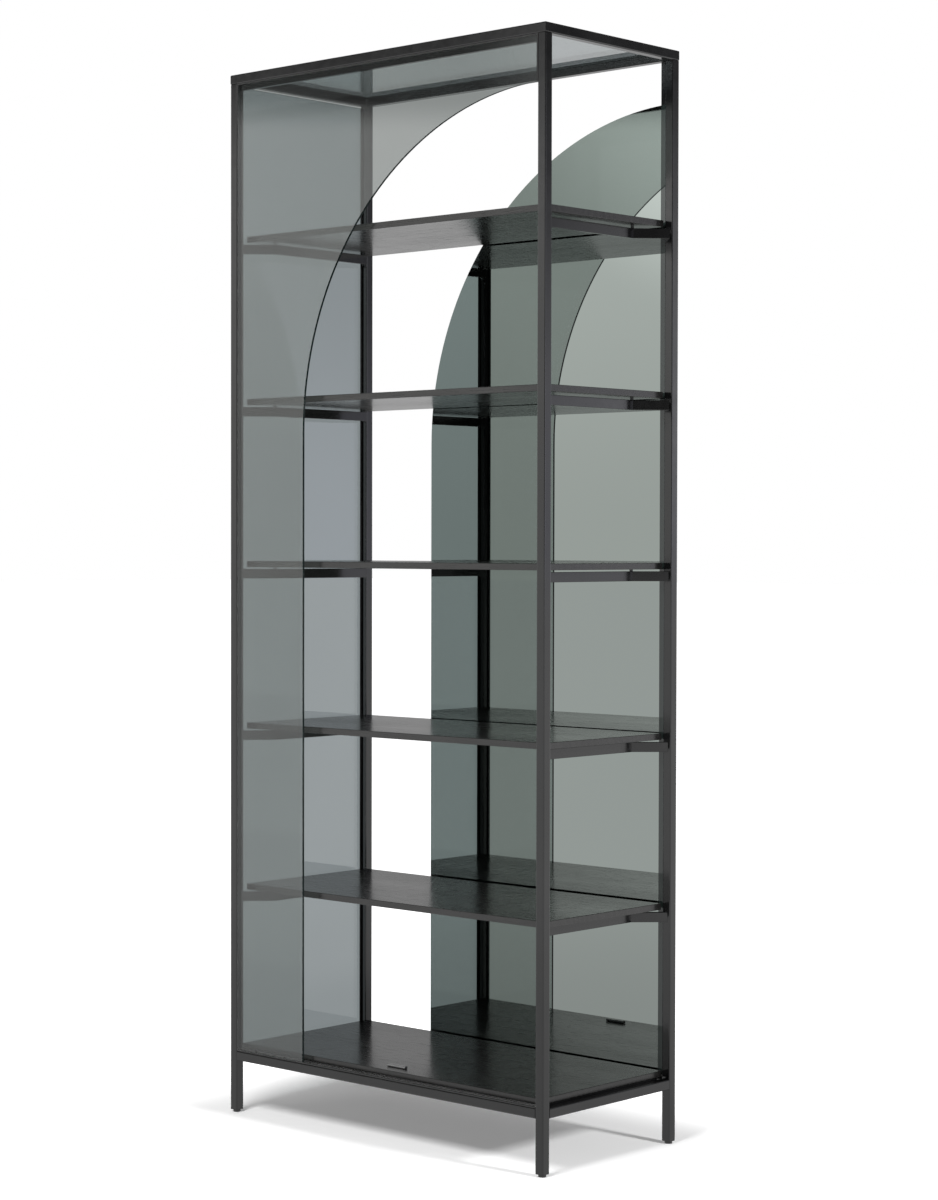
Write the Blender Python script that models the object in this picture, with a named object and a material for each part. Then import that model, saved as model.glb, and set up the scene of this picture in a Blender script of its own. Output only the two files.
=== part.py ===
"""Tall display case: a square-tube steel frame with smoked glass, an arched mirror and six levels.

Metres, +Z up. The origin is on the floor under the middle of the case. The front faces -Y.
"""

import math

import bmesh
import bpy
from mathutils import Vector

# Overall size
WIDTH = 0.880
DEPTH = 0.410
HEIGHT = 2.200
FIT_GAP = 0.0003

# Square tube of the frame
TUBE = 0.020
TUBE_WALL = 0.0015
TUBE_RADIUS = 0.0024
LEG_BOTTOM = 0.0055
BOTTOM_RAIL_LOW = 0.1115

# Levelling glides and the plugs that they screw into
PAD_RADIUS = 0.0078
PAD_EDGE = 0.0008
STUD_RADIUS = 0.0040
STUD_LENGTH = 0.020
THREAD_GAP = 0.00015
PLUG_LENGTH = 0.025

# Wooden levels
BOARD_SIDE_INSET = 0.021
BOARD_ROUND = 0.0008
SHELF_COUNT = 5
SHELF_FIRST_TOP = 0.4865
SHELF_PITCH = 0.3435
SHELF_THICKNESS = 0.013
SHELF_FRONT_INSET = 0.028
SHELF_REAR_INSET = 0.0225
BASE_TOP = 0.147
BASE_THICKNESS = 0.0125
BASE_FRONT_INSET = 0.0175
BASE_REAR_INSET = 0.018

# Cranked bars that carry the shelves
BAR_WIDTH = 0.009
BAR_HEIGHT = 0.020
BAR_WALL = 0.0015
BAR_RADIUS = 0.0008
BAR_END_INSET = 0.0130
BAR_RUN = 0.050
SPACER_RADIUS = 0.0035
SPACER_HEIGHT = 0.004
SPACER_ROOT = 0.0007

# Glass, mirror and what holds them
PANE = 0.005
EDGE_GAP = 0.003
FLUSH = 0.0003
MIRROR_Y = 0.195
FRONT_EDGE_X = -0.220
FRONT_ARCH_RADIUS = 0.648
FRONT_ARCH_TOP = 2.089
MIRROR_EDGE_X = -0.231
MIRROR_ARCH_RADIUS = 0.667
MIRROR_ARCH_TOP = 2.0945
ARCH_SEGMENTS = 48
TAPE_WIDTH = 0.0045
TAPE_THICKNESS = 0.0006
HEADER_HEIGHT = 0.0142
HEADER_DEPTH = 0.0095
HEADER_ROUND = 0.0006
FLANGE_WIDTH = 0.022
FLANGE_THICKNESS = 0.0040
GASKET_WIDTH = EDGE_GAP - 2 * FIT_GAP

# Small trim of the base
SILL_WIDTH = 0.0032
LEDGE_LEG = 0.015
LEDGE_WALL = 0.002
LEDGE_LENGTH = 0.340
TAG_LENGTH = 0.050
TAG_WIDTH = 0.009
TAG_HEIGHT = 0.005
TAG_ROUND = 0.0015
TAG_X = 0.006
TAG_FRONT_INSET = 0.050

CORNER_SEGMENTS = 3
ROUND_SEGMENTS = 32

HALF_W = WIDTH / 2
HALF_D = DEPTH / 2
INNER_X = HALF_W - TUBE
INNER_Y = HALF_D - TUBE
POST_X = HALF_W - TUBE / 2
POST_Y = HALF_D - TUBE / 2
TOP_RAIL_LOW = HEIGHT - TUBE
BOTTOM_RAIL_TOP = BOTTOM_RAIL_LOW + TUBE
BASE_LOW = BASE_TOP - BASE_THICKNESS
FRONT_PANE_Y = -HALF_D + FLUSH
SIDE_PANE_X = -HALF_W + FLUSH
TOP_PANE_Z = HEIGHT - FLUSH - PANE
X_AXIS = Vector((1, 0, 0))
Y_AXIS = Vector((0, 1, 0))
Z_AXIS = Vector((0, 0, 1))
SIDES = (("left", -1), ("right", 1))
ENDS = (("front", -1), ("rear", 1))


def principled(name, colour, roughness, metallic=0.0, transmission=0.0):
    material = bpy.data.materials.new(name)
    material.use_nodes = True
    shader = material.node_tree.nodes["Principled BSDF"]
    shader.inputs["Base Color"].default_value = (*colour, 1.0)
    shader.inputs["Roughness"].default_value = roughness
    shader.inputs["Metallic"].default_value = metallic
    shader.inputs["Transmission Weight"].default_value = transmission
    material.diffuse_color = (*colour, 1.0)
    return material


def new_object(name, bm, material, smooth=False):
    """Turn a closed bmesh into a named object, with its faces pointing out."""
    bmesh.ops.recalc_face_normals(bm, faces=bm.faces)
    mesh = bpy.data.meshes.new(name)
    bm.to_mesh(mesh)
    bm.free()
    mesh.materials.append(material)
    if smooth:
        mesh.shade_smooth()
        mesh.set_sharp_from_angle(angle=math.radians(40))
    obj = bpy.data.objects.new(name, mesh)
    bpy.context.scene.collection.objects.link(obj)
    return obj


def move_origin(obj, place):
    """Put the object's origin at place without moving its surface."""
    for vertex in obj.data.vertices:
        vertex.co -= place
    obj.location = place


def rounded_rectangle(width, height, radius):
    """Outline with round corners, anticlockwise, centred on zero."""
    corners = ((1, 1, 0), (-1, 1, 90), (-1, -1, 180), (1, -1, 270))
    outline = []
    for sign_u, sign_v, start in corners:
        centre_u = sign_u * (width / 2 - radius)
        centre_v = sign_v * (height / 2 - radius)
        for step in range(CORNER_SEGMENTS + 1):
            angle = math.radians(start + 90 * step / CORNER_SEGMENTS)
            outline.append((centre_u + radius * math.cos(angle), centre_v + radius * math.sin(angle)))
    return outline


def circle_and_square(radius, size):
    """A circle and a square round it, with their points at the same angles."""
    circle = []
    square = []
    for step in range(ROUND_SEGMENTS):
        angle = math.tau * step / ROUND_SEGMENTS
        u, v = math.cos(angle), math.sin(angle)
        reach = size / 2 / max(abs(u), abs(v))
        circle.append((radius * u, radius * v))
        square.append((reach * u, reach * v))
    return circle, square


def stations(path, outline, up, end_normals):
    """Loops of the outline where the path starts, bends and ends, each cut on its mitre plane."""
    loops = []
    last = len(path) - 1
    for index, point in enumerate(path):
        before = (path[max(index, 1)] - path[max(index, 1) - 1]).normalized()
        after = (path[min(index, last - 1) + 1] - path[min(index, last - 1)]).normalized()
        normal = (before + after).normalized()
        if index == 0 and end_normals[0]:
            normal = end_normals[0]
        if index == last and end_normals[1]:
            normal = end_normals[1]
        side = before.cross(up).normalized()
        loop = []
        for u, v in outline:
            offset = side * u + up * v
            slide = -offset.dot(normal) / before.dot(normal)
            loop.append(point + offset + before * slide)
        loops.append(loop)
    return loops


def swept_tube(name, path, outer, inner, up, material, end_normals=(None, None)):
    """Open-ended tube between two outlines with the same number of points, along a path."""
    bm = bmesh.new()
    shells = []
    for outline in (outer, inner):
        loops = stations(path, outline, up, end_normals)
        shells.append([[bm.verts.new(point) for point in loop] for loop in loops])
    count = len(outer)
    for shell in shells:
        for here, there in zip(shell, shell[1:]):
            for k in range(count):
                bm.faces.new((here[k], here[(k + 1) % count], there[(k + 1) % count], there[k]))
    for end in (0, -1):
        rim, bore = shells[0][end], shells[1][end]
        for k in range(count):
            bm.faces.new((rim[k], rim[(k + 1) % count], bore[(k + 1) % count], bore[k]))
    return new_object(name, bm, material, smooth=True)


def square_tube(name, start, end, up, material, end_normals=(None, None)):
    outer = rounded_rectangle(TUBE, TUBE, TUBE_RADIUS)
    bore = TUBE - 2 * TUBE_WALL
    inner = rounded_rectangle(bore, bore, TUBE_RADIUS - TUBE_WALL)
    return swept_tube(name, [Vector(start), Vector(end)], outer, inner, up, material, end_normals)


def prism(name, outline, axis, low, high, material):
    """Straight prism: an outline across the named axis, from low to high along it."""
    place = {
        "X": lambda u, v, w: (w, u, v),
        "Y": lambda u, v, w: (u, w, v),
        "Z": lambda u, v, w: (u, v, w),
    }[axis]
    bm = bmesh.new()
    near = [bm.verts.new(place(u, v, low)) for u, v in outline]
    far = [bm.verts.new(place(u, v, high)) for u, v in outline]
    bm.faces.new(near)
    bm.faces.new(list(reversed(far)))
    for k in range(len(outline)):
        after = (k + 1) % len(outline)
        bm.faces.new((near[k], far[k], far[after], near[after]))
    return new_object(name, bm, material)


def rectangle(low_u, high_u, low_v, high_v):
    return [(low_u, low_v), (high_u, low_v), (high_u, high_v), (low_u, high_v)]


def soften(obj, width, segments=2):
    """Small round on every edge."""
    bevel = obj.modifiers.new("edge_round", "BEVEL")
    bevel.width = width
    bevel.segments = segments
    bevel.limit_method = "ANGLE"
    return obj


def turned(name, profile, centre, material):
    """Solid of revolution about a vertical axis; the profile runs from axis to axis, going up."""
    bm = bmesh.new()
    rings = []
    for radius, z in profile:
        if radius == 0:
            rings.append([bm.verts.new((centre[0], centre[1], z))])
            continue
        ring = []
        for k in range(ROUND_SEGMENTS):
            angle = math.tau * k / ROUND_SEGMENTS
            x = centre[0] + radius * math.cos(angle)
            y = centre[1] + radius * math.sin(angle)
            ring.append(bm.verts.new((x, y, z)))
        rings.append(ring)
    for here, there in zip(rings, rings[1:]):
        for k in range(ROUND_SEGMENTS):
            after = (k + 1) % ROUND_SEGMENTS
            if len(here) == 1:
                bm.faces.new((here[0], there[k], there[after]))
            elif len(there) == 1:
                bm.faces.new((here[k], here[after], there[0]))
            else:
                bm.faces.new((here[k], here[after], there[after], there[k]))
    return new_object(name, bm, material, smooth=True)


def arch_outline(edge_x, radius, top):
    """Quarter circle from the straight upright edge, up and over to the right-hand post."""
    centre_x = edge_x + radius
    centre_z = top - radius
    right = INNER_X - EDGE_GAP
    end = math.acos((right - centre_x) / radius)
    points = []
    for step in range(ARCH_SEGMENTS + 1):
        angle = math.pi + (end - math.pi) * step / ARCH_SEGMENTS
        points.append((centre_x + radius * math.cos(angle), centre_z + radius * math.sin(angle)))
    return points


def build_frame(steel):
    """Four posts, a ring of rails above the legs and a mitred ring on top."""
    for end_name, end in ENDS:
        for side_name, side in SIDES:
            foot = (side * POST_X, end * POST_Y, LEG_BOTTOM)
            head = (side * POST_X, end * POST_Y, TOP_RAIL_LOW - FIT_GAP)
            square_tube(f"post_{end_name}_{side_name}", foot, head, Y_AXIS, steel)

    low_z = BOTTOM_RAIL_LOW + TUBE / 2
    high_z = HEIGHT - TUBE / 2
    reach_x = INNER_X - FIT_GAP
    reach_y = INNER_Y - FIT_GAP
    mitre_back = FIT_GAP / math.sqrt(2)
    for end_name, end in ENDS:
        y = end * POST_Y
        square_tube(f"bottom_rail_{end_name}", (-reach_x, y, low_z), (reach_x, y, low_z), Z_AXIS, steel)
        corner = POST_X - mitre_back
        cuts = (Vector((1, end, 0)).normalized(), Vector((1, -end, 0)).normalized())
        square_tube(f"top_rail_{end_name}", (-corner, y, high_z), (corner, y, high_z), Z_AXIS, steel, cuts)
    for side_name, side in SIDES:
        x = side * POST_X
        square_tube(f"bottom_rail_{side_name}", (x, -reach_y, low_z), (x, reach_y, low_z), Z_AXIS, steel)
        corner = POST_Y - mitre_back
        cuts = (Vector((side, 1, 0)).normalized(), Vector((-side, 1, 0)).normalized())
        square_tube(f"top_rail_{side_name}", (x, -corner, high_z), (x, corner, high_z), Z_AXIS, steel, cuts)


def build_feet(plastic, nylon):
    """A plug in the end of each leg, and a glide whose stud turns in the plug."""
    plug_size = TUBE - 2 * TUBE_WALL - 2 * FIT_GAP
    inner, outer = circle_and_square(STUD_RADIUS + THREAD_GAP, plug_size)
    pad_top = LEG_BOTTOM - FIT_GAP
    for end_name, end in ENDS:
        for side_name, side in SIDES:
            x = side * POST_X
            y = end * POST_Y
            path = [Vector((x, y, LEG_BOTTOM)), Vector((x, y, LEG_BOTTOM + PLUG_LENGTH))]
            swept_tube(f"leg_plug_{end_name}_{side_name}", path, outer, inner, Y_AXIS, plastic)
            profile = [
                (0, 0),
                (PAD_RADIUS - PAD_EDGE, 0),
                (PAD_RADIUS, PAD_EDGE),
                (PAD_RADIUS, pad_top - PAD_EDGE),
                (PAD_RADIUS - PAD_EDGE, pad_top),
                (STUD_RADIUS, pad_top),
                (STUD_RADIUS, pad_top + STUD_LENGTH),
                (0, pad_top + STUD_LENGTH),
            ]
            glide = turned(f"glide_{end_name}_{side_name}", profile, (x, y), nylon)
            move_origin(glide, Vector((x, y, 0)))


def build_boards(wood):
    """The base board and the shelves above it."""
    edge_x = HALF_W - BOARD_SIDE_INSET
    base = rectangle(-edge_x, edge_x, -HALF_D + BASE_FRONT_INSET, HALF_D - BASE_REAR_INSET)
    soften(prism("base_board", base, "Z", BASE_LOW, BASE_TOP, wood), BOARD_ROUND)
    shelf = rectangle(-edge_x, edge_x, -HALF_D + SHELF_FRONT_INSET, HALF_D - SHELF_REAR_INSET)
    for number in range(1, SHELF_COUNT + 1):
        top = shelf_top(number)
        soften(prism(f"shelf_{number}", shelf, "Z", top - SHELF_THICKNESS, top, wood), BOARD_ROUND)


def shelf_top(number):
    """Height of the top of a shelf; number 1 is the lowest."""
    return SHELF_FIRST_TOP + (number - 1) * SHELF_PITCH


def build_shelf_bars(steel):
    """A cranked bar under each end of each shelf, with a spacer at each bend."""
    outer = rounded_rectangle(BAR_WIDTH, BAR_HEIGHT, BAR_RADIUS)
    inner = rounded_rectangle(BAR_WIDTH - 2 * BAR_WALL, BAR_HEIGHT - 2 * BAR_WALL, BAR_RADIUS / 2)
    bend_y = INNER_Y - BAR_RUN
    reach_y = INNER_Y - FIT_GAP
    for number in range(1, SHELF_COUNT + 1):
        bar_top = shelf_top(number) - SHELF_THICKNESS - SPACER_HEIGHT
        z = bar_top - BAR_HEIGHT / 2
        for side_name, side in SIDES:
            bend_x = side * (HALF_W - BAR_END_INSET - BAR_RUN)
            end_x = bend_x + side * (reach_y - bend_y)
            path = [
                Vector((end_x, -reach_y, z)),
                Vector((bend_x, -bend_y, z)),
                Vector((bend_x, bend_y, z)),
                Vector((end_x, reach_y, z)),
            ]
            name = f"shelf_{number}_bar_{side_name}"
            bar = swept_tube(name, path, outer, inner, Z_AXIS, steel, (Y_AXIS, Y_AXIS))
            for end_name, end in ENDS:
                profile = [
                    (0, bar_top - SPACER_ROOT),
                    (SPACER_RADIUS, bar_top - SPACER_ROOT),
                    (SPACER_RADIUS, bar_top + SPACER_HEIGHT - FIT_GAP),
                    (0, bar_top + SPACER_HEIGHT - FIT_GAP),
                ]
                spacer = turned(f"{name}_spacer_{end_name}", profile, (bend_x, end * bend_y), steel)
                spacer.hide_render = True
                spacer.display_type = "WIRE"
                union = bar.modifiers.new(f"spacer_{end_name}", "BOOLEAN")
                union.operation = "UNION"
                union.object = spacer


def build_panes(glass, mirror_glass):
    """Arched front pane, arched mirror, left-hand pane and top pane."""
    left = -INNER_X + EDGE_GAP
    right = INNER_X - EDGE_GAP
    low = BOTTOM_RAIL_TOP + EDGE_GAP
    high = TOP_RAIL_LOW - EDGE_GAP

    front = [(left, high), (left, low), (FRONT_EDGE_X, low)]
    front += arch_outline(FRONT_EDGE_X, FRONT_ARCH_RADIUS, FRONT_ARCH_TOP)
    front.append((right, high))
    prism("front_glass", front, "Y", FRONT_PANE_Y, FRONT_PANE_Y + PANE, glass)

    back = [(right, low), (MIRROR_EDGE_X, low)]
    back += arch_outline(MIRROR_EDGE_X, MIRROR_ARCH_RADIUS, MIRROR_ARCH_TOP)
    prism("mirror", back, "Y", MIRROR_Y, MIRROR_Y + PANE, mirror_glass)

    reach = INNER_Y - FIT_GAP
    side = rectangle(-reach, reach, low, high)
    prism("left_glass", side, "X", SIDE_PANE_X, SIDE_PANE_X + PANE, glass)

    reach_x = INNER_X - EDGE_GAP / 2
    reach_y = INNER_Y - EDGE_GAP / 2
    lid = rectangle(-reach_x, reach_x, -reach_y, reach_y)
    prism("top_glass", lid, "Z", TOP_PANE_Z, TOP_PANE_Z + PANE, glass)


def build_bonding_bars(steel):
    """Flat bars that glass is bonded to: behind the top of the front pane and the mirror's right edge."""
    reach = INNER_X - FIT_GAP
    near = FRONT_PANE_Y + PANE + FIT_GAP
    top = TOP_RAIL_LOW - FIT_GAP
    bar = rectangle(-reach, reach, near, near + HEADER_DEPTH)
    soften(prism("front_header", bar, "Z", top - HEADER_HEIGHT, top, steel), HEADER_ROUND)

    near = MIRROR_Y + PANE + FIT_GAP
    flange = rectangle(reach - FLANGE_WIDTH, reach, near, near + FLANGE_THICKNESS)
    soften(prism("mirror_flange", flange, "Z", BOTTOM_RAIL_TOP + FIT_GAP, top, steel), HEADER_ROUND)


def build_glazing(rubber):
    """Bonding tapes down the left-hand pane, a gasket round the front pane and one under the mirror."""
    low = BOTTOM_RAIL_TOP + FIT_GAP
    high = TOP_RAIL_LOW - FIT_GAP
    tape_x = SIDE_PANE_X + PANE + FIT_GAP
    for end_name, end in ENDS:
        edges = sorted((end * (INNER_Y - FIT_GAP), end * (INNER_Y - FIT_GAP - TAPE_WIDTH)))
        tape = rectangle(tape_x, tape_x + TAPE_THICKNESS, *edges)
        prism(f"left_glass_tape_{end_name}", tape, "Z", low + EDGE_GAP, high - EDGE_GAP, rubber)

    wide = INNER_X - FIT_GAP
    thin = wide - GASKET_WIDTH
    front_gasket = [
        (wide, low),
        (wide, low + GASKET_WIDTH),
        (-thin, low + GASKET_WIDTH),
        (-thin, high - GASKET_WIDTH),
        (thin, high - GASKET_WIDTH),
        (thin, FRONT_ARCH_TOP),
        (wide, FRONT_ARCH_TOP),
        (wide, high),
        (-wide, high),
        (-wide, low),
    ]
    prism("front_gasket", front_gasket, "Y", FRONT_PANE_Y + FIT_GAP, FRONT_PANE_Y + PANE, rubber)
    mirror_gasket = rectangle(MIRROR_EDGE_X, INNER_X - EDGE_GAP, low, low + GASKET_WIDTH)
    prism("mirror_gasket", mirror_gasket, "Y", MIRROR_Y + FIT_GAP, MIRROR_Y + PANE, rubber)


def build_base_trim(steel, pale_metal, tag_metal):
    """Ledges that carry the base board, the sill strip under its front edge and a plain metal tag."""
    board_low = BASE_LOW - FIT_GAP
    for side_name, side in SIDES:
        outer = side * (INNER_X - FIT_GAP)
        ledge = [
            (outer, board_low - LEDGE_LEG),
            (outer, board_low),
            (outer - side * LEDGE_LEG, board_low),
            (outer - side * LEDGE_LEG, board_low - LEDGE_WALL),
            (outer - side * LEDGE_WALL, board_low - LEDGE_WALL),
            (outer - side * LEDGE_WALL, board_low - LEDGE_LEG),
        ]
        prism(f"base_ledge_{side_name}", ledge, "Y", -LEDGE_LENGTH / 2, LEDGE_LENGTH / 2, steel)

    sill_front = -HALF_D + BASE_FRONT_INSET - FIT_GAP * 3
    edge_x = HALF_W - BOARD_SIDE_INSET
    sill = rectangle(-edge_x, edge_x, sill_front, sill_front + SILL_WIDTH)
    prism("sill_strip", sill, "Z", BOTTOM_RAIL_TOP + FIT_GAP, board_low, pale_metal)

    tag_y = -HALF_D + TAG_FRONT_INSET
    half_length = TAG_LENGTH / 2
    tag = rectangle(TAG_X - half_length, TAG_X + half_length, tag_y - TAG_WIDTH / 2, tag_y + TAG_WIDTH / 2)
    tag_low = BASE_TOP + FIT_GAP
    soften(prism("base_tag", tag, "Z", tag_low, tag_low + TAG_HEIGHT, tag_metal), TAG_ROUND, 3)


def build():
    for obj in list(bpy.data.objects):
        bpy.data.objects.remove(obj, do_unlink=True)
    steel = principled("black_steel", (0.032, 0.033, 0.035), 0.32, metallic=0.6)
    wood = principled("black_oak", (0.035, 0.035, 0.036), 0.50)
    glass = principled("smoked_glass", (0.45, 0.49, 0.49), 0.02, transmission=1.0)
    mirror_glass = principled("smoked_mirror", (0.40, 0.44, 0.42), 0.02, metallic=1.0)
    rubber = principled("black_rubber", (0.012, 0.012, 0.012), 0.70)
    plastic = principled("black_plastic", (0.020, 0.020, 0.020), 0.50)
    nylon = principled("glide_nylon", (0.030, 0.030, 0.032), 0.45)
    pale_metal = principled("pale_metal", (0.300, 0.310, 0.320), 0.40, metallic=0.8)
    tag_metal = principled("tag_metal", (0.220, 0.220, 0.225), 0.30, metallic=1.0)

    build_frame(steel)
    build_feet(plastic, nylon)
    build_boards(wood)
    build_shelf_bars(steel)
    build_panes(glass, mirror_glass)
    build_bonding_bars(steel)
    build_glazing(rubber)
    build_base_trim(steel, pale_metal, tag_metal)


build()
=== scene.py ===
"""Looks of the tall display case: materials, floor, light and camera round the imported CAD."""

import math

import bmesh
import bpy
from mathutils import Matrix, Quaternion, Vector


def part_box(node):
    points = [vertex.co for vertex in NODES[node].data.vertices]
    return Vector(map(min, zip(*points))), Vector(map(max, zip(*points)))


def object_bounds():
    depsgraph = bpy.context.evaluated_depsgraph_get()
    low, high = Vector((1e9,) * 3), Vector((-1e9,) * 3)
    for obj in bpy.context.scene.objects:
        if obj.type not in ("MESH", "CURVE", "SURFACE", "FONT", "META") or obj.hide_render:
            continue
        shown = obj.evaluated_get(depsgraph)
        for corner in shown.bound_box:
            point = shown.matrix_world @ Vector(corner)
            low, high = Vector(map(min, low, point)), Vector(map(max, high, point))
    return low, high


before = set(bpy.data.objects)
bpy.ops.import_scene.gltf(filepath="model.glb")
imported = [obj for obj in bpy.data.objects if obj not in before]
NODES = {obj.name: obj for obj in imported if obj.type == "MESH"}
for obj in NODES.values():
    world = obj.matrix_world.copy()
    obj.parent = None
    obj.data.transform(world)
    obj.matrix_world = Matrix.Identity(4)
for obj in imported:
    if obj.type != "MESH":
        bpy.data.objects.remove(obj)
CAD_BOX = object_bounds()

# Camera
CAMERA_PLACE = (3.7295, -4.0162, 1.2131)
CAMERA_AZIMUTH = 42.425
CAMERA_DOWN = 1.237
CAMERA_ROLL = 0.117
CAMERA_LENS = 79.5
CAMERA_SENSOR = 36.0
CAMERA_FAR = 200.0

# Light of the studio, as radiance
PAPER_WHITE = 1.0
ROOM_LIGHT = 0.12
# Soft boxes of the room: azimuth from +X and elevation in degrees, the angles from there where the box
# starts and where it is full, and its radiance
ROOM_LOBES = (
    (132.0, 0.0, 75.0, 20.0, 0.36),
    (234.0, 11.0, 6.5, 0.5, 1.10),
    (54.0, 4.0, 6.0, 1.0, 1.20),
    (246.0, 18.0, 15.0, 3.0, 2.50),
)
# White screens that stand round the case: azimuth, its two angles, radiance at the foot and under the top
# edge, and colour
SCREENS = (
    (228.0, 75.0, 25.0, 1.24, 1.50, (1.0, 1.0, 0.985, 1.0)),
    (48.0, 45.0, 30.0, 1.00, 0.25, (0.93, 0.94, 1.10, 1.0)),
    (12.0, 17.0, 10.0, 1.50, 1.50, (0.96, 0.97, 1.06, 1.0)),
)
SCREEN_TOP = 9.35  # elevation of the top edge in degrees
SCREEN_FULL = 0.75  # share of that height where the upper radiance is reached
SCREEN_FADE = (0.93, 1.02)  # shares of that height between which the screen ends
SCREEN_LEFT_OVER = 0.05  # share of the light that is left above it

# Lamps, which are not seen in gloss: name, place, side and power
LAMPS = (
    ("front_box", (0.5, -2.6, 3.3), 1.3, 120.0),
    ("side_lamp", (5.0, 0.2, 2.5), 0.6, 245.0),
)
LAMPS_AIM = (0.0, 0.0, 0.3)

# Floor, with painted light. A glow is a distance from the case where it starts, one where it is full, and its
# two levels; the low level at the case is painted shade round it.
FLOOR_HALF = 60.0
FLOOR_ALBEDO = 0.90
FLOOR_BEHIND_GLASS = 0.47
FLOOR_GLOW = (0.03, 0.36, 0.17, 0.95)
# Painted light of the floor in gloss and to all other rays: a glow set by the distance from the case, between
# two distances and two levels, and a lower level behind the case as painted shade
FLOOR_IN_GLOSS = (0.2, 4.0, 1.02, 1.28)
FLOOR_BEHIND_IN_GLOSS = 0.68
FLOOR_REAR = (0.0, 0.6)  # Y between which the floor behind the case takes over
FLOOR_LEFT = (0.3, 0.9)  # X between which it gives way again

# Glass: the share of red, green and blue that one pane passes, and how far that varies over it
FRONT_PASSES = (0.540, 0.576, 0.562)
OTHER_PASSES = (0.500, 0.558, 0.575)
PASSES_LEAST = 0.992
PASSES_MOST = 1.006
GLASS_IOR = 1.5
EDGE_DARK = (0.006, 0.009, 0.009, 1.0)
EDGE_LIGHT = (0.014, 0.020, 0.019, 1.0)
EDGE_ROUGHNESS = 0.12

# Mirror
MIRROR_TINT = (0.186, 0.211, 0.198)
# Painted shade: a dark strip this wide along the mirror's right edge, next to the post, in place of the
# silver's reflection
SHADE_STRIP_WIDTH = 0.0150
PAINTED_SHADE_COLOUR = (0.020, 0.027, 0.025, 1.0)
BACK_DARK = (0.030, 0.032, 0.034, 1.0)
BACK_LIGHT = (0.095, 0.100, 0.104, 1.0)
BACK_ROUGHNESS = 0.55

# Steel
STEEL_TONES = (0.0020, 0.0040)
STEEL_ROUGHNESS = (0.11, 0.16)
STEEL_PEEL = 0.02
COAT_IOR = 1.5

# Oak, with its grain along X
OAK_DARK = (0.0032, 0.0031, 0.0030, 1.0)
OAK_LIGHT = (0.0110, 0.0107, 0.0102, 1.0)
OAK_PORE = (0.0020, 0.0020, 0.0019, 1.0)
OAK_ROUGHNESS = (0.18, 0.24)
OAK_PORE_ROUGHNESS = 0.20
OAK_RINGS = 330.0  # radians of the ring pattern in a metre across the grain
OAK_PORES = 1100.0  # noise cells in a metre across the grain
OAK_PORES_ALONG = 26.0  # and along it

# Small parts, by the start of their names: material, two tones, roughness, texture per metre, metallic
SMALL_PARTS = (
    ("base_tag", "tag_brushed", 0.30, 0.42, 0.28, 700.0, 1.0),
    ("left_glass_tape", "black_tape", 0.012, 0.020, 0.6, 500.0, 0.0),
    ("mirror_gasket", "gasket_rubber", 0.008, 0.014, 0.5, 500.0, 0.0),
    ("front_gasket", "gasket_rubber_front", 0.008, 0.014, 0.5, 500.0, 0.0),
    ("sill_strip", "sill_metal", 0.35, 0.45, 0.3, 500.0, 1.0),
    ("glide_", "glide_nylon_black", 0.012, 0.022, 0.45, 500.0, 0.0),
    ("leg_plug_", "plug_plastic", 0.012, 0.020, 0.5, 500.0, 0.0),
)


class Graph:
    """Builds a node tree in few lines."""

    def __init__(self, tree):
        self.tree = tree
        tree.nodes.clear()

    def node(self, kind, values=None, **settings):
        node = self.tree.nodes.new("ShaderNode" + kind)
        for name, value in settings.items():
            setattr(node, name, value)
        for key, value in (values or {}).items():
            if isinstance(value, bpy.types.Node):
                value = value.outputs[0]
            if isinstance(value, bpy.types.NodeSocket):
                self.tree.links.new(value, node.inputs[key])
            else:
                node.inputs[key].default_value = value
        return node

    def math(self, operation, a, b=0.0):
        return self.node("Math", {0: a, 1: b}, operation=operation)

    def scaled(self, vector, scale):
        return self.node("VectorMath", {0: vector, 1: scale}, operation="MULTIPLY")

    def noise(self, vector, scale, detail=2.0, roughness=0.5):
        values = {"Vector": vector, "Scale": scale, "Detail": detail, "Roughness": roughness}
        return self.node("TexNoise", values)

    def remap(self, value, low, high, to_low, to_high, smooth=False):
        values = {"Value": value, "From Min": low, "From Max": high, "To Min": to_low, "To Max": to_high}
        return self.node(
            "MapRange", values, interpolation_type="SMOOTHSTEP" if smooth else "LINEAR", clamp=True
        )

    def mix_colour(self, factor, a, b):
        return self.node("Mix", {0: factor, 6: a, 7: b}, data_type="RGBA").outputs[2]

    def mix_shader(self, factor, a, b):
        return self.node("MixShader", {0: factor, 1: a, 2: b})


def new_material(name):
    material = bpy.data.materials.new(name)
    material.use_nodes = True
    return material, Graph(material.node_tree)


def grey(level, tint=0.0):
    """A grey of that level, with its blue raised by a share."""
    return (level, level, level * (1 + tint), 1.0)


def object_point(g):
    return g.node("TexCoord").outputs["Object"]


def coat(g, colour, roughness, bump):
    """The shader of a coated or lacquered surface."""
    values = {"Base Color": colour, "Roughness": roughness, "IOR": COAT_IOR, "Normal": bump}
    return g.node("BsdfPrincipled", values)


def powder_coat(name):
    """Satin black powder coat on steel: a fine orange peel, uneven gloss and a faint change of tone."""
    material, g = new_material(name)
    dark, light = STEEL_TONES
    point = object_point(g)
    broad = g.noise(point, 9.0, detail=4.0)
    fine = g.noise(point, 420.0, detail=1.0)
    tone = g.remap(broad, 0.35, 0.65, 0.0, 1.0)
    colour = g.mix_colour(tone, grey(dark, 0.06), grey(light, 0.04))
    rough = g.remap(g.noise(point, 60.0, detail=5.0), 0.3, 0.7, *STEEL_ROUGHNESS)
    bump = g.node("Bump", {"Strength": STEEL_PEEL, "Distance": 0.0002, "Height": fine})
    g.node("OutputMaterial", {0: coat(g, colour, rough, bump)})
    return material


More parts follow.
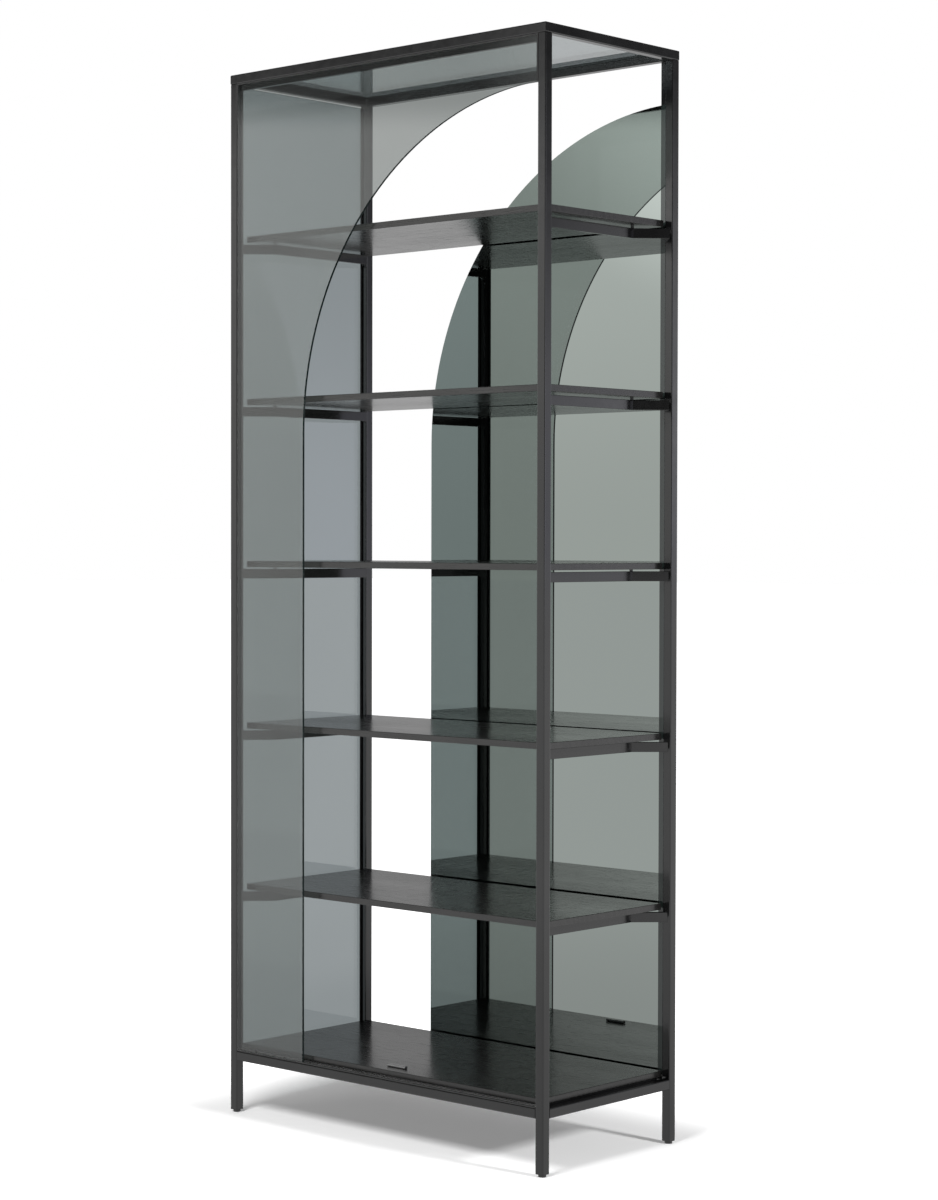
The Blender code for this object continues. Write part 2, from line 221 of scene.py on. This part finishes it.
def black_oak(name):
    """Black-stained oak veneer with its grain along X: figure, medullary flecks and open pores."""
    material, g = new_material(name)
    point = object_point(g)
    wander = g.noise(g.scaled(point, (1.3, 5.0, 5.0)), 1.0, detail=3.0)
    separate = g.node("SeparateXYZ", {0: point})
    across = g.math("ADD", separate.outputs["Y"], g.math("MULTIPLY", wander, 0.16))
    across = g.math("ADD", across, g.math("MULTIPLY", separate.outputs["Z"], 0.31))
    ring_fine = g.noise(g.scaled(point, (3.0, 90.0, 90.0)), 1.0, detail=3.0)
    phase = g.math("MULTIPLY", across, OAK_RINGS)
    phase = g.math("ADD", phase, g.math("MULTIPLY", ring_fine, 5.0))
    ring = g.remap(g.math("SINE", phase), -1.0, 1.0, 0.0, 1.0)
    stretch = (OAK_PORES_ALONG, OAK_PORES, OAK_PORES)
    pores = g.noise(g.scaled(point, stretch), 1.0, detail=2.0, roughness=0.6)
    pore = g.remap(pores, 0.56, 0.66, 0.0, 1.0, smooth=True)
    pore = g.math("MULTIPLY", pore, g.remap(ring, 0.2, 0.9, 0.35, 1.0))
    patch = g.noise(g.scaled(point, (2.0, 9.0, 9.0)), 1.0, detail=4.0)
    tone = g.math("ADD", g.math("MULTIPLY", ring, 0.45), g.remap(patch, 0.3, 0.7, 0.0, 0.55))
    wood = g.mix_colour(tone, OAK_DARK, OAK_LIGHT)
    colour = g.mix_colour(pore, wood, OAK_PORE)
    smooth = g.remap(patch, 0.3, 0.7, *OAK_ROUGHNESS)
    rough = g.math("ADD", smooth, g.math("MULTIPLY", pore, OAK_PORE_ROUGHNESS))
    height = g.math("SUBTRACT", g.math("MULTIPLY", ring, 0.25), pore)
    bump = g.node("Bump", {"Strength": 0.22, "Distance": 0.00012, "Height": height})
    g.node("OutputMaterial", {0: coat(g, colour, rough, bump)})
    return material


def facing(g, axis):
    """1 where the surface faces along that axis or against it, else 0, and the normal's own value."""
    normal = g.node("SeparateXYZ", {0: g.node("TexCoord").outputs["Normal"]}).outputs[axis]
    return g.math("GREATER_THAN", g.math("ABSOLUTE", normal), 0.9), normal


def both_ways_fresnel(g):
    """The reflection of plain glass, the same from either side of a face that doesn't bend light."""
    behind = g.node("NewGeometry").outputs["Backfacing"]
    ior = g.remap(behind, 0.0, 1.0, GLASS_IOR, 1 / GLASS_IOR)
    return g.node("Fresnel", {"IOR": ior})


def polished_edge(g):
    """The ground and polished edge of a smoked pane, nearly black, with fine grinding marks."""
    marks = g.noise(g.scaled(object_point(g), (900.0, 900.0, 900.0)), 1.0, detail=2.0)
    tone = g.remap(marks, 0.3, 0.7, 0.0, 1.0)
    colour = g.mix_colour(tone, EDGE_DARK, EDGE_LIGHT)
    values = {"Base Color": colour, "Roughness": EDGE_ROUGHNESS, "IOR": GLASS_IOR}
    return g.node("BsdfPrincipled", values)


def smoked_glass(name, axis, passes):
    """Smoked glass with bare polished edges. Light goes straight through, half of the tint at each face."""
    material, g = new_material(name)
    haze = g.noise(object_point(g), 3.0, detail=3.0)
    half = [math.sqrt(share) for share in passes]
    deep = tuple(v * PASSES_LEAST for v in half) + (1.0,)
    clear = tuple(v * PASSES_MOST for v in half) + (1.0,)
    tint = g.mix_colour(g.remap(haze, 0.3, 0.7, 0.0, 1.0), deep, clear)
    passing = g.node("BsdfTransparent", {"Color": tint})
    mirror = g.node("BsdfGlossy", {"Color": (1.0, 1.0, 1.0, 1.0), "Roughness": 0.0})
    pane = g.mix_shader(both_ways_fresnel(g), passing, mirror)
    flat, _ = facing(g, axis)
    g.node("OutputMaterial", {0: g.mix_shader(flat, polished_edge(g), pane)})
    return material


def smoked_mirror(name):
    """Smoked mirror with painted shade as a dark strip along its right edge by the post, its back painted,
    and polished edges.
    """
    material, g = new_material(name)
    silver = g.node("BsdfGlossy", {"Color": (*MIRROR_TINT, 1.0), "Roughness": 0.0})
    face = g.node("BsdfGlossy", {"Color": (1.0, 1.0, 1.0, 1.0), "Roughness": 0.0})
    across = g.node("SeparateXYZ", {0: object_point(g)}).outputs["X"]
    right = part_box("mirror")[1][0] - SHADE_STRIP_WIDTH
    # painted shade: the strip along the right edge is a dark diffuse, not a reflection
    bare = g.node("BsdfDiffuse", {"Color": PAINTED_SHADE_COLOUR})
    under = g.mix_shader(g.math("GREATER_THAN", across, right), silver, bare)
    front = g.mix_shader(g.node("Fresnel", {"IOR": GLASS_IOR}), under, face)
    paint = g.noise(object_point(g), 240.0, detail=4.0)
    paint_colour = g.mix_colour(paint, BACK_DARK, BACK_LIGHT)
    bump = g.node("Bump", {"Strength": 0.3, "Distance": 0.0003, "Height": paint})
    values = {"Base Color": paint_colour, "Roughness": BACK_ROUGHNESS, "Normal": bump}
    back = g.node("BsdfPrincipled", values)
    flat, normal = facing(g, "Y")
    sides = g.mix_shader(g.math("LESS_THAN", normal, 0.0), back, front)
    g.node("OutputMaterial", {0: g.mix_shader(flat, polished_edge(g), sides)})
    return material


def moulded(name, dark, light, roughness, texture, metallic):
    """Rubber, tape, nylon, plastic or plated metal with a fine moulded or brushed texture."""
    material, g = new_material(name)
    point = object_point(g)
    grain = g.noise(point, texture, detail=3.0)
    colour = g.mix_colour(grain, grey(dark), grey(light))
    rough = g.remap(g.noise(point, 40.0), 0.3, 0.7, roughness * 0.85, roughness * 1.15)
    bump = g.node("Bump", {"Strength": 0.15, "Distance": 0.0002, "Height": grain})
    values = {"Base Color": colour, "Roughness": rough, "Metallic": metallic, "Normal": bump}
    g.node("OutputMaterial", {0: g.node("BsdfPrincipled", values)})
    return material


def paint_nodes():
    """Gives every CAD node its finish."""
    steel = powder_coat("satin_black_steel")
    oak = black_oak("black_oak_veneer")
    small = {start: moulded(*look) for start, *look in SMALL_PARTS}
    by_start = {
        "post_": steel,
        "top_rail_": steel,
        "bottom_rail_": steel,
        "base_board": oak,
        "base_ledge_": steel,
        "front_glass": smoked_glass("smoked_glass_front", "Y", FRONT_PASSES),
        "front_header": steel,
        "left_glass": smoked_glass("smoked_glass_side", "X", OTHER_PASSES),
        "top_glass": smoked_glass("smoked_glass_top", "Z", OTHER_PASSES),
        "mirror": smoked_mirror("smoked_mirror_silvered"),
        "mirror_flange": steel,
        **small,
    }
    for name, node in NODES.items():
        if name.startswith("shelf_"):
            finish = steel if "_bar_" in name else oak
        else:
            finish = by_start[max((start for start in by_start if name.startswith(start)), key=len)]
        node.material_slots[0].material = finish


def lobe(g, direction, azimuth, elevation, wide, narrow, strength):
    """Light from round one direction, given in degrees, that fades out between two angles from it."""
    turn, up = math.radians(azimuth), math.radians(elevation)
    axis = (math.cos(turn) * math.cos(up), math.sin(turn) * math.cos(up), math.sin(up))
    towards = g.node("VectorMath", {0: direction, 1: axis}, operation="DOT_PRODUCT").outputs["Value"]
    low, high = math.cos(math.radians(wide)), math.cos(math.radians(narrow))
    return g.remap(towards, low, high, 0.0, strength, smooth=True)


def screen(g, direction, azimuth, wide, narrow, foot, top):
    """A white screen that stands on the floor in one direction, brighter or dimmer towards its top edge."""
    turn = math.radians(azimuth)
    ahead = g.node("VectorMath", {0: direction, 1: (1.0, 1.0, 0.0)}, operation="MULTIPLY")
    ahead = g.node("VectorMath", {0: ahead}, operation="NORMALIZE")
    axis = (math.cos(turn), math.sin(turn), 0.0)
    towards = g.node("VectorMath", {0: ahead, 1: axis}, operation="DOT_PRODUCT").outputs["Value"]
    low, high = math.cos(math.radians(wide)), math.cos(math.radians(narrow))
    across = g.remap(towards, low, high, 0.0, 1.0, smooth=True)
    rise = g.node("SeparateXYZ", {0: direction}).outputs["Z"]
    edge = math.sin(math.radians(SCREEN_TOP))
    level = g.remap(rise, 0.0, edge * SCREEN_FULL, foot, top, smooth=True)
    fade_from, fade_to = (edge * share for share in SCREEN_FADE)
    below_edge = g.remap(rise, fade_from, fade_to, 1.0, SCREEN_LEFT_OVER, smooth=True)
    return g.math("MULTIPLY", g.math("MULTIPLY", across, level), below_edge)


def through_glass(g):
    """1 for what is seen through a pane and 0 for what is seen bare, and 1 for what the camera sees."""
    path = g.node("LightPath")
    behind = g.math("GREATER_THAN", path.outputs["Transparent Depth"], 0.5)
    return behind, path.outputs["Is Camera Ray"]


def make_world():
    """White paper to the bare camera, and a dim room with soft boxes and white screens to all else."""
    world = bpy.data.worlds.new("studio")
    world.use_nodes = True
    bpy.context.scene.world = world
    g = Graph(world.node_tree)
    direction = g.node("TexCoord").outputs["Generated"]
    level = ROOM_LIGHT
    for box in ROOM_LOBES:
        level = g.math("ADD", level, lobe(g, direction, *box))
    room = g.node("Background", {"Color": (1.0, 1.0, 1.0, 1.0), "Strength": level})
    for *shape, colour in SCREENS:
        white = g.node("Background", {"Color": colour, "Strength": screen(g, direction, *shape)})
        room = g.node("AddShader", {0: room, 1: white})
    behind, camera = through_glass(g)
    bare = g.math("MULTIPLY", camera, g.math("SUBTRACT", 1.0, behind))
    paper = g.node("Background", {"Color": (1.0, 1.0, 1.0, 1.0), "Strength": PAPER_WHITE})
    g.node("OutputWorld", {0: g.mix_shader(bare, room, paper)})


def make_floor():
    """A pale floor with painted light: a glow, low at the case as painted shade, brightens it away from the
    case, and it has glowing levels of its own behind glass and in gloss.
    """
    bm = bmesh.new()
    corners = [(-1, -1), (1, -1), (1, 1), (-1, 1)]
    bm.faces.new([bm.verts.new((x * FLOOR_HALF, y * FLOOR_HALF, 0.0)) for x, y in corners])
    mesh = bpy.data.meshes.new("floor")
    bm.to_mesh(mesh)
    bm.free()
    floor = bpy.data.objects.new("floor", mesh)
    bpy.context.scene.collection.objects.link(floor)
    material, g = new_material("pale_floor")
    behind, camera = through_glass(g)
    point = object_point(g)
    low, high = CAD_BOX
    half = ((high[0] - low[0]) / 2, (high[1] - low[1]) / 2, 0.0)
    outside = g.node("VectorMath", {0: point}, operation="ABSOLUTE")
    outside = g.node("VectorMath", {0: outside, 1: half}, operation="SUBTRACT")
    outside = g.node("VectorMath", {0: outside, 1: (0.0, 0.0, 0.0)}, operation="MAXIMUM")
    away = g.node("VectorMath", {0: outside}, operation="LENGTH").outputs["Value"]
    # painted light: the floor glows, dim at the case as painted shade and bright away from it
    lit = g.node("Emission", {"Strength": g.remap(away, *FLOOR_GLOW, smooth=True)})
    pale = g.node("BsdfDiffuse", {"Color": grey(FLOOR_ALBEDO)})
    bare = g.node("AddShader", {0: pale, 1: lit})
    place = g.node("SeparateXYZ", {0: point})
    # painted shade: behind the case the floor glows dimmer in gloss
    rear = g.remap(place.outputs["Y"], *FLOOR_REAR, 0.0, 1.0, smooth=True)
    left = g.remap(place.outputs["X"], *FLOOR_LEFT, 1.0, 0.0, smooth=True)
    shade = g.math("MULTIPLY", rear, left)
    # painted light: in gloss the floor glows brighter away from the case
    front = g.remap(away, *FLOOR_IN_GLOSS, smooth=True)
    level = g.node("Mix", {0: shade, 2: front, 3: FLOOR_BEHIND_IN_GLOSS}, data_type="FLOAT")
    in_gloss = g.node("Emission", {"Strength": level})
    dim = g.node("Emission", {"Strength": FLOOR_BEHIND_GLASS})
    seen = g.mix_shader(behind, bare, dim)
    g.node("OutputMaterial", {0: g.mix_shader(camera, in_gloss, seen)})
    mesh.materials.append(material)


def area_light(name, place, side, power):
    data = bpy.data.lights.new(name, "AREA")
    data.shape = "RECTANGLE"
    data.size = data.size_y = side
    data.energy = power
    light = bpy.data.objects.new(name, data)
    light.location = place
    aim = Vector(LAMPS_AIM) - Vector(place)
    light.rotation_euler = aim.to_track_quat("-Z", "Y").to_euler()
    light.visible_glossy = False
    light.visible_camera = False
    bpy.context.scene.collection.objects.link(light)


def make_camera():
    azimuth, down = math.radians(CAMERA_AZIMUTH), math.radians(CAMERA_DOWN)
    forward = Vector(
        (-math.sin(azimuth) * math.cos(down), math.cos(azimuth) * math.cos(down), -math.sin(down))
    )
    data = bpy.data.cameras.new("camera")
    data.lens = CAMERA_LENS
    data.sensor_width = CAMERA_SENSOR
    data.clip_end = CAMERA_FAR
    camera = bpy.data.objects.new("camera", data)
    camera.rotation_mode = "QUATERNION"
    camera.location = CAMERA_PLACE
    roll = Quaternion(forward, -math.radians(CAMERA_ROLL))
    camera.rotation_quaternion = roll @ forward.to_track_quat("-Z", "Y")
    bpy.context.scene.collection.objects.link(camera)
    bpy.context.scene.camera = camera


def main():
    make_camera()
    paint_nodes()
    make_world()
    make_floor()
    for lamp in LAMPS:
        area_light(*lamp)
    scene = bpy.context.scene
    scene.view_settings.view_transform = "Standard"
    scene.cycles.max_bounces = 10
    scene.cycles.transparent_max_bounces = 24


main()
